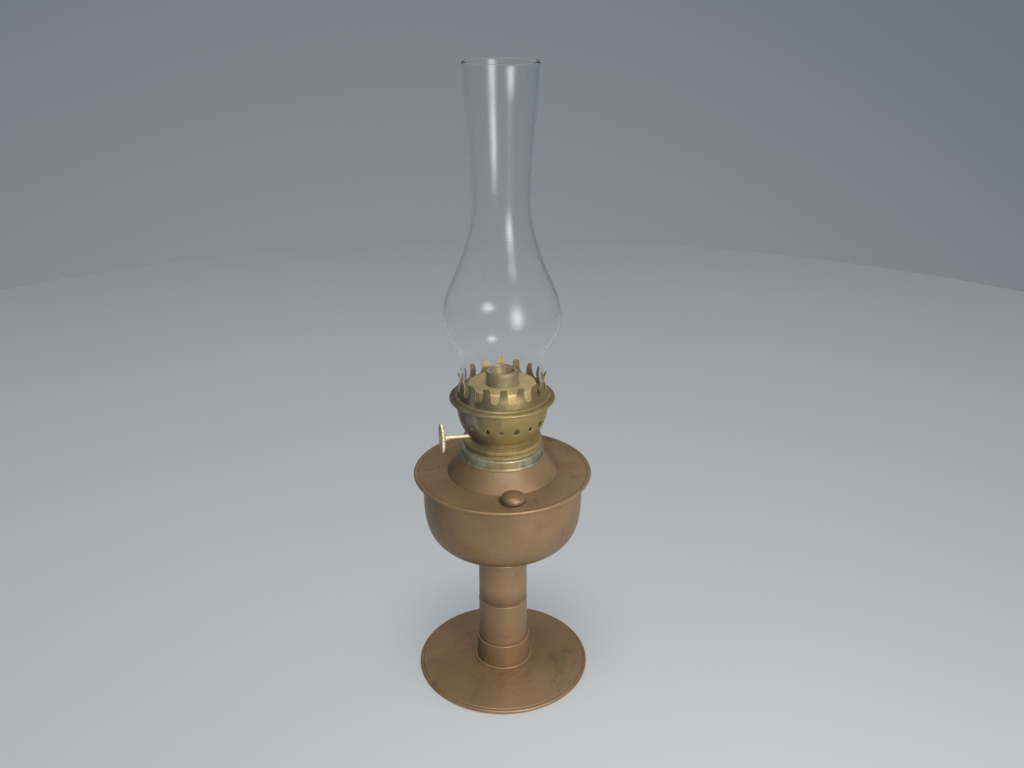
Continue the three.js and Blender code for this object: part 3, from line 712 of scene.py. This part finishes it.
def make_font(materials):
    """The bowl, the top and the collar. Returns the matrix of the filler's axis."""
    wall = bowl_wall()
    inside = [(max(r, 0), z) for r, z in offset(wall, -SHEET)]
    inside[-1] = (0, inside[-1][1])
    turned("font_bowl", wall + inside[::-1], materials["bronze"])

    radius, _, ledge = reach("font_top")
    rim, rim_top, deck = 1.15, 194.1, 193.9
    mouth, shoulder, crease, near = 26.8, 33.7, 45.7, 0.4
    # points near the crease between cone and deck keep it crisp
    cone = deck + near * (ledge - deck) / (crease - shoulder)
    upper = rounded([(mouth, ledge, 0.3), (shoulder, ledge, 0.9), (crease - near, cone), (crease, deck, 0.15),
                     (crease + near, deck), (69.2, deck - 0.05, 0.8), (70.2, deck - 0.25, 0.6),
                     (71.2, deck + 0.1, 0.6), (radius - rim, rim_top)])
    edge = arc((radius - rim, rim_top - rim), rim, 90, -90, 16)
    under = [(70.5, 192), (45.1, 192.7), (33.2, ledge - SHEET), (mouth, ledge - SHEET)]
    font_top = turned("font_top", upper[:-1] + edge + under, materials["bronze"])
    low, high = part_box("filler_neck")
    middle = Matrix.Translation(((low.x + high.x) / 2, (low.y + high.y) / 2, 0))
    without(font_top, turned_mesh([(0, 188), (7, 188), (7, 200), (0, 200)], SMALL, None, middle))

    radius, bottom, top = reach("font_collar")
    turned("font_collar", rounded([
        (24.6, bottom), (26.3, bottom, 0.3), (26.3, 208.8), (34.3, 208.8, 0.3), (radius, 209.4, 0.4),
        (34.3, 210.4, 0.6), (33.9, 211.2, 1), (33.5, 214.4, 3), (33.5, 216.4, 0.5), (33.1, top, 0.3),
        (24.6, top, 0.3),
    ]), materials["patina_brass"])
    return middle


def make_filler(materials, middle):
    """The filler's neck, gasket and cap, turned about their own axis, which middle moves them to."""
    def small(node, corners, material, body):
        turned(node, rounded(corners), material, body, SMALL, None, middle)

    _, bottom, top = reach("filler_neck")
    _, seat, gasket_top = reach("filler_gasket")
    flange = seat - 0.3
    neck = [(5.4, bottom), (6.4, bottom), (6.4, 194.4), (8.3, 194.4, 0.2), (8.3, flange, 0.3),
            (6.4, flange, 0.2), (6.4, top, 0.25), (5.4, top, 0.25)]
    small("filler_neck", neck, materials["bronze"], "stand")
    small("filler_gasket", [(6.8, seat), (8.3, seat, 0.2), (8.3, gasket_top, 0.2), (6.8, gasket_top)],
          materials["cork"], "cap_seat")
    _, bottom, top = reach("filler_cap")
    ceiling, inside = flange + 3.1, gasket_top + 0.3
    skirt = rounded([(0, ceiling), (6.8, ceiling, 0.3), (6.8, inside, 0.2), (8.8, inside, 0.2),
                     (8.8, bottom, 0.15), (9.4, bottom, 0.3), (9.75, flange)])
    dome = through([(9.75, flange + 0.2), (9.6, flange + 1.6), (8.3, flange + 3.3), (5.4, flange + 4.5),
                    (0, top)], 8)
    turned("filler_cap", skirt + dome, materials["bronze"], "cap", SMALL, None, middle)


# -------------------------------- burner

def ridges(count, depth, chosen):
    """A ripple of straight V-shaped grooves where chosen(radius, height) holds."""
    def ripple(angles, radius, height):
        if not chosen(radius, height):
            return 0 * angles
        share = (angles * count / (2 * math.pi)) % 1
        return -depth * (1 - np.abs(2 * share - 1))
    return ripple


THREAD_RADIUS, THREAD_PITCH, THREAD_DEPTH = 24.1, 2.5, 0.45


def screw_and_knurl(angles, radius, height):
    """The burner base's ripple: a right-hand thread on the skirt, a knurl on the flange's upper band."""
    if abs(radius - THREAD_RADIUS) < 0.01:
        share = (height / THREAD_PITCH - angles / (2 * math.pi)) % 1
        return -THREAD_DEPTH * (1 - np.abs(2 * share - 1))
    return ridges(150, 0.25, lambda r, z: r > 32.2 and 222.1 < z < 224.7)(angles, radius, height)


def make_burner_base(materials):
    radius, bottom, top = reach("burner_washer")
    turned("burner_washer", rounded([(24.6, bottom), (radius, bottom, 0.3), (radius, top, 0.3),
                                     (24.6, top)]), materials["patina_brass"], "burner_seat")
    radius, bottom, top = reach("burner_base")
    skirt = [(THREAD_RADIUS, z) for z in np.arange(bottom + 0.6, 218.8, THREAD_PITCH / 6)]
    flange = rounded([(THREAD_RADIUS, 219.1), (31.5, 219.1, 0.3), (31.5, 221.5, 0.3),
                      (radius, 221.9, 0.25)])[1:]
    band = [(radius, z) for z in (222.3, 223, 223.8, 224.5)]
    inside = rounded([(radius, top, 0.35), (25.2, top, 0.2), (25.2, 222.5), (22.9, 222.5), (22.9, 205.2),
                      (13.7, 205.2), (13.7, bottom), (23.4, bottom)])
    turned("burner_base", skirt + flange + band + inside, materials["burner_brass"], "burner", 600,
           screw_and_knurl)


def basket_curve():
    """The basket's outer side from neck to rim, and how far along it each point lies."""
    bend = rounded([(0, 225.3), (26, 225.3), (26, 229.3, 0.8), (28.2, 229.6, 0.8), (28.2, 260)])
    neck = [p for p in bend if p[0] >= 25.9 and p[1] < 229.75]
    bowl = through([(28.5, 229.9), (29.9, 231.3), (32.8, 236.1), (35, 241.5), (36.3, 247), (36.85, 252),
                    (36.9, reach("burner_basket")[2])], 16)
    curve = np.array(neck + bowl)
    run = np.concatenate(([0], np.cumsum(np.linalg.norm(np.diff(curve, axis=0), axis=1))))
    return curve, run


HOLES, HOLE_HEIGHT, HOLE_TURN = 18, 243.5, -1.3
HOLE_SMALL, HOLE_LARGE, HOLE_DENT = 1.75, 2.65, 0.28  # radii, and how far their edges are pressed in
HOLE_CORNERS, HOLE_RINGS = 32, 7  # of the mesh round a hole


def make_basket(material):
    """A thin bowl pierced by a row of air holes, large and small by turns. Each hole lies in the middle of a
    square cell, and plain faces lie below and above the cells."""
    curve, run = basket_curve()
    middle = float(np.interp(HOLE_HEIGHT, curve[:, 1], run))
    radius = float(np.interp(middle, run, curve[:, 0]))
    half = math.pi * radius / HOLES
    bands = [s for s in run if abs(s - middle) > half * 1.08]
    below = [s for s in bands if s < middle] + [middle - half]
    above = [middle + half] + [s for s in bands if s > middle]
    vertices, faces = [], []

    def vertex(across, along, dent=0.0):
        r, z = (np.interp(along, run, curve[:, i]) for i in (0, 1))
        angle = across / radius
        vertices.append(((r - dent) * math.cos(angle) * MM, (r - dent) * math.sin(angle) * MM, z * MM))
        return len(vertices) - 1

    turns = [2 * math.pi * k / HOLE_CORNERS for k in range(HOLE_CORNERS)]
    edge = [half * math.tan(a) for a in turns if a <= math.pi / 4 + 1e-6]
    columns = sorted({round(x, 9) for x in [-e for e in edge] + edge})
    for cell in range(HOLES):
        centre = radius * math.radians(-90 + HOLE_TURN + 360 / HOLES * cell)
        hole = HOLE_SMALL if cell % 2 == 0 else HOLE_LARGE
        loops = []
        for ring in range(HOLE_RINGS + 1):
            share = (ring / HOLE_RINGS) ** 1.4  # closer rings near the hole
            loop = []
            for a in turns:
                border = half / max(abs(math.cos(a)), abs(math.sin(a)))
                far = hole + (border - hole) * share
                dent = HOLE_DENT * max(0, 1 - (far - hole) / 1.1) ** 2
                loop.append(vertex(centre + far * math.cos(a), middle + far * math.sin(a), dent))
            loops.append(loop)
        for inner, outer in zip(loops, loops[1:]):
            for k in range(HOLE_CORNERS):
                n = (k + 1) % HOLE_CORNERS
                faces.append((inner[k], outer[k], outer[n], inner[n]))
        for levels in (below, above):
            grid = [[vertex(centre + x, s) for x in columns] for s in levels]
            for low, high in zip(grid, grid[1:]):
                faces += [(low[k], low[k + 1], high[k + 1], high[k]) for k in range(len(columns) - 1)]
    piece = finished("burner_basket_finished", vertices, faces, material, wall=0.8 * MM, bevel=0.12 * MM)
    attach(piece, "burner", "burner_basket")
    return piece


def make_gallery(material):
    radius, bottom, top = reach("gallery_ring")
    bead = 1.25
    under = rounded([(30.4, top - 1.2), (35.2, top - 1.2), (35.5, bottom + 0.2, 0.3), (38.4, bottom + 0.1, 1),
                     (radius - bead, bottom)])[:-1]
    rim = arc((radius - bead, bottom + bead), bead, -90, 75, 16)
    over = rounded([(radius - 1.8, 261.6), (39.2, 262.4, 1.5), (37.9, top, 0.6), (30.4, top, 0.3),
                    (30.4, top - 1.2)])[1:-1]
    turned("gallery_ring", under + rim + over, material, "burner", 192)


CROWN_PRONGS, CROWN_TURN, CROWN_RADIUS, CROWN_CORNER = 16, 2, 35.6, 1.1
CROWN_SLOT_BOTTOM, CROWN_TOP = 268, 280
CROWN_SLOT, CROWN_SLOT_TOP = 6.2, 8.8  # a slot's width at its round bottom and at the tips


def crown_half_width(height, period):
    """Half the width of one prong at a height: the full period below the slots, then its own outline."""
    half = CROWN_SLOT / 2
    if height <= CROWN_SLOT_BOTTOM:
        return period / 2
    if height < CROWN_SLOT_BOTTOM + half:
        return period / 2 - math.sqrt(half ** 2 - (CROWN_SLOT_BOTTOM + half - height) ** 2)
    share = (height - CROWN_SLOT_BOTTOM - half) / (CROWN_TOP - CROWN_SLOT_BOTTOM - half)
    width = period / 2 - half - (CROWN_SLOT_TOP - CROWN_SLOT) / 2 * share
    over = height - (CROWN_TOP - CROWN_CORNER)
    if over > 0:
        width -= CROWN_CORNER - math.sqrt(max(0, CROWN_CORNER ** 2 - over ** 2))
    return width


def make_crown(material):
    """Sixteen springy prongs, pinched in towards the glass and flared at their tips."""
    bottom = reach("prong_crown")[1]
    side = np.array(through([(36.4, bottom), (36.1, 266), (35.6, 269), (34.5, 272.5), (34.2, 275.5),
                             (34.7, 278), (CROWN_RADIUS, CROWN_TOP)], 12))
    period = 2 * math.pi * CROWN_RADIUS / CROWN_PRONGS
    half = CROWN_SLOT / 2
    heights = list(np.linspace(bottom, CROWN_SLOT_BOTTOM, 6))
    heights += [CROWN_SLOT_BOTTOM + half * (1 - math.cos(a)) for a in np.radians(np.linspace(10, 90, 9))]
    shoulder = CROWN_TOP - CROWN_CORNER
    heights += list(np.linspace(heights[-1], shoulder, 9))[1:]
    heights += [shoulder + CROWN_CORNER * math.sin(a) for a in np.radians(np.linspace(15, 90, 6))]
    vertices, faces, columns = [], [], 12
    for prong in range(CROWN_PRONGS):
        middle = math.radians(-90 + CROWN_TURN + 360 / CROWN_PRONGS * prong)
        first = len(vertices)
        for height in heights:
            width = crown_half_width(height, period)
            radius = float(np.interp(height, side[:, 1], side[:, 0]))
            for share in np.linspace(-1, 1, columns + 1):
                angle = middle + share * width / CROWN_RADIUS
                vertices.append((radius * math.cos(angle) * MM, radius * math.sin(angle) * MM, height * MM))
        for row in range(len(heights) - 1):
            for column in range(columns):
                a = first + row * (columns + 1) + column
                faces.append((a, a + 1, a + columns + 2, a + columns + 1))
    piece = finished("prong_crown_finished", vertices, faces, material, wall=0.7 * MM, bevel=0.1 * MM)
    attach(piece, "burner", "prong_crown")


def make_deck(material):
    radius, bottom, top = reach("deck_plate")
    skirt = bottom - 3.5  # or light shows past it from one air hole to the far ones
    turned("deck_plate", rounded([(13.7, top - 0.8), (radius - 0.8, top - 0.8, 0.4), (radius - 0.8, skirt),
                                  (radius, skirt, 0.2), (radius, top, 1), (13.7, top, 0.15)]),
           material, "burner")


def sleeve(node, radius, wall, openings, material, body):
    """A thin upright tube with openings, each (middle angle in degrees, width, low, high)."""
    _, bottom, top = reach(node)
    angles = list(np.radians(np.linspace(0, 360, SMALL, endpoint=False)))
    heights = list(np.linspace(bottom, top, 25))
    spans = []
    for middle, width, low, high in openings:
        spread = math.asin(width / 2 / radius)
        spans.append((math.radians(middle), spread, low, high))
        angles += [(math.radians(middle) + side * spread) % (2 * math.pi) for side in (-1, 1)]
        heights += [z for z in (low, high) if bottom < z < top]
    angles = sorted(set(angles))
    heights = sorted(set(heights))
    vertices = [(radius * math.cos(a) * MM, radius * math.sin(a) * MM, z * MM)
                for z in heights for a in angles]
    faces, count = [], len(angles)
    for row in range(len(heights) - 1):
        for k in range(count):
            ahead = angles[(k + 1) % count] + (2 * math.pi if k == count - 1 else 0)
            turn, rise = (angles[k] + ahead) / 2, (heights[row] + heights[row + 1]) / 2
            if any(abs(math.remainder(turn - m, 2 * math.pi)) < s and low < rise < high
                   for m, s, low, high in spans):
                continue
            n = (k + 1) % count
            faces.append((row * count + k, row * count + n, (row + 1) * count + n, (row + 1) * count + k))
    piece = finished(node + "_finished", vertices, faces, material, wall=wall * MM, bevel=0.15 * MM)
    attach(piece, body, node)


def square_duct(half, start, end, low, high):
    """Vertices and faces of the four sides of a duct that runs out towards +Y."""
    ring = ((-half, low), (half, low), (half, high), (-half, high))
    vertices = [(x * MM, y * MM, z * MM) for y in (start, end) for x, z in ring]
    return vertices, [(k, (k + 1) % 4, (k + 1) % 4 + 4, k + 4) for k in range(4)]


TUBE_RADIUS, WICK_RADIUS = 13.3, 12.2
RACK_ASIDE, RACK_SLOT_TOP = 6.3, 227  # the rack lies beside the spindle, this far across from it
DUCT, DUCT_LOW, DUCT_HIGH = 7.2, 235, 245  # the square duct through both tubes, at the back


def make_wick_parts(materials, spindle_angle):
    rack_angle = spindle_angle + math.degrees(math.asin(RACK_ASIDE / TUBE_RADIUS))
    _, tube_bottom, _ = reach("outer_wick_tube")
    sleeve("outer_wick_tube", TUBE_RADIUS, 0.8,
           [(rack_angle, 3.6, tube_bottom - 1, RACK_SLOT_TOP),
            (90, DUCT + 0.6, DUCT_LOW - 0.3, DUCT_HIGH + 0.3)],
           materials["tube_brass"], "burner")
    _, wick_bottom, _ = reach("wick")
    sleeve("wick", WICK_RADIUS, 1.6, [(90, DUCT + 1.2, wick_bottom - 1, DUCT_HIGH + 8)],
           materials["wick_cotton"], "wick_feed")
    _, bottom, top = reach("inner_air_tube")
    tube = turned("inner_air_tube", rounded([
        (0, bottom), (10.3, bottom, 0.5), (10.3, top, 0.3), (9.5, top, 0.3), (9.5, bottom + 0.8, 0.4),
        (0, bottom + 0.8),
    ]), materials["tube_brass"], "burner", SMALL)
    half, wall = DUCT / 2, 0.8
    passage = square_duct(half - wall, 6, 16, DUCT_LOW + wall, DUCT_HIGH - wall)
    without(tube, (passage[0], passage[1] + [(0, 1, 2, 3), (4, 5, 6, 7)]))
    side = finished("inner_air_tube_duct", *square_duct(half, 9.55, 15, DUCT_LOW, DUCT_HIGH),
                    materials["tube_brass"], wall=wall * MM)
    attach(side, "burner", "inner_air_tube")


SPINDLE_RADIUS = 1.5


def make_knob(materials, along):
    """The spindle and its knob, turned about the knob joint's own axis."""
    shaft = SPINDLE_RADIUS
    turned("wick_spindle", rounded([(0, 13.9), (shaft, 13.9, 0.2), (shaft, 47.9, 0.2), (0, 47.9)]),
           materials["pale_brass"], "knob_shaft", 48, None, along)
    disc = rounded([
        (0, 48.2), (shaft + 0.3, 48.2), (shaft + 0.3, 44.8, 0.2), (2.35, 44.8, 0.3), (2.9, 47.5, 1),
        (4.2, 48.6, 0.6), (11.2, 48.65, 0.6), (12, 49.2, 0.4), (12, 50.8, 0.4), (11.2, 51.35, 0.4),
        (10.5, 50.95, 0.4), (4.4, 50.85, 0.5), (3.6, 51.35, 0.5), (0, 51.35),
    ])
    turned("wick_knob", disc, materials["pale_brass"], "knob_shaft", 288,
           ridges(24, 0.9, lambda r, z: r > 11.9), along)


def dress_cad_nodes(materials):
    """The small flat-sided pieces keep their CAD shape, with broken edges and their own finish."""
    for node, name in (("tie_nut", "steel"), ("spindle_bearing", "burner_brass"),
                       ("drive_pinion", "burner_brass"), ("wick_rack", "burner_brass")):
        piece = frame["nodes"][node]
        piece.data.materials.clear()
        piece.data.materials.append(materials[name])
        rounding = piece.modifiers.new("bevel", "BEVEL")
        rounding.width = 0.1 * MM
        rounding.segments = 2
        rounding.limit_method = "ANGLE"


# -------------------------------- chimney

CHIMNEY_WALL = 1.8
CHIMNEY_OUTLINE = [
    (32.9, 264.6), (32.9, 275), (32.75, 285), (32.8, 291.5), (34.4, 298.5), (37.9, 305), (42.2, 312),
    (45.4, 319.5), (46.9, 328.5), (45.8, 337.5), (43.1, 347), (38.9, 357), (34.0, 367.5), (29.9, 379),
    (26.3, 390), (23.6, 401.2), (22.35, 411), (22.05, 420), (22.8, 444), (24.1, 464), (25.7, 483),
    (27.2, 499), (27.9, 518.1),
]


def make_chimney(material):
    outer = through(CHIMNEY_OUTLINE, 7)
    inner = offset(outer, CHIMNEY_WALL)
    lip = CHIMNEY_WALL / 2
    mouth = arc((outer[-1][0] - lip, outer[-1][1]), lip, 20, 160, 8)
    foot = arc((outer[0][0] - lip, outer[0][1]), lip, 200, 340, 8)
    turned("chimney", outer + mouth + inner[::-1] + foot, material, "glass", 192)


# -------------------------------- assembly

def knob_axis():
    """A matrix that stands +Z along the spindle, with its origin on the lamp's axis, and the spindle's angle
    round that axis in degrees."""
    joint = next(j for j in frame["joints"] if j["name"] == "knob_turn")
    direction = Vector(joint["axis"]).normalized()
    turn = direction.to_track_quat("Z", "Y").to_matrix().to_4x4()
    height = joint["pos_m"][2]
    return Matrix.Translation((0, 0, height)) @ turn, math.degrees(math.atan2(direction.y, direction.x))


def make_materials():
    """Every finish of the lamp by its name."""
    scorched = reach("wick")[2] * MM - 0.004
    return {
        "bronze": bronze(),
        "burner_brass": aged_brass("burner_brass", rgb(142, 124, 79), rgb(165, 145, 92), 0.85),
        "tube_brass": aged_brass("tube_brass", rgb(108, 98, 76), rgb(138, 124, 92), 0.9, scorched),
        "basket_brass": aged_brass("basket_brass", rgb(126, 110, 70), rgb(147, 129, 82), 0.85),
        "gallery_brass": aged_brass("gallery_brass", rgb(116, 102, 66), rgb(138, 121, 80), 0.6),
        "crown_brass": aged_brass("crown_brass", rgb(105, 92, 60), rgb(124, 109, 72), 0.75),
        "deck_brass": aged_brass("deck_brass", rgb(172, 152, 107), rgb(194, 173, 122), 0.2),
        "patina_brass": patina_brass(), "pale_brass": pale_brass(), "chimney_glass": chimney_glass(),
        "felt": felt(), "cork": cork(), "iron": iron(), "steel": steel(),
        "wick_cotton": wick_cotton(scorched, scorched + 0.006),
    }


def build():
    materials = make_materials()
    make_camera()
    make_light(make_floor(floor_paint()))
    make_backdrop()
    make_foot(materials["bronze"])
    make_stem(materials["bronze"])
    make_tie(materials)
    filler_place = make_font(materials)
    make_filler(materials, filler_place)
    make_burner_base(materials)
    along, spindle_angle = knob_axis()
    basket = make_basket(materials["basket_brass"])
    bore = SPINDLE_RADIUS + 0.3
    without(basket, turned_mesh([(0, 22), (bore, 22), (bore, 29), (0, 29)], 48, None, along))
    make_gallery(materials["gallery_brass"])
    make_crown(materials["crown_brass"])
    make_deck(materials["deck_brass"])
    make_wick_parts(materials, spindle_angle)
    make_knob(materials, along)
    dress_cad_nodes(materials)
    make_chimney(materials["chimney_glass"])
    scene.view_settings.view_transform = "Standard"


build()
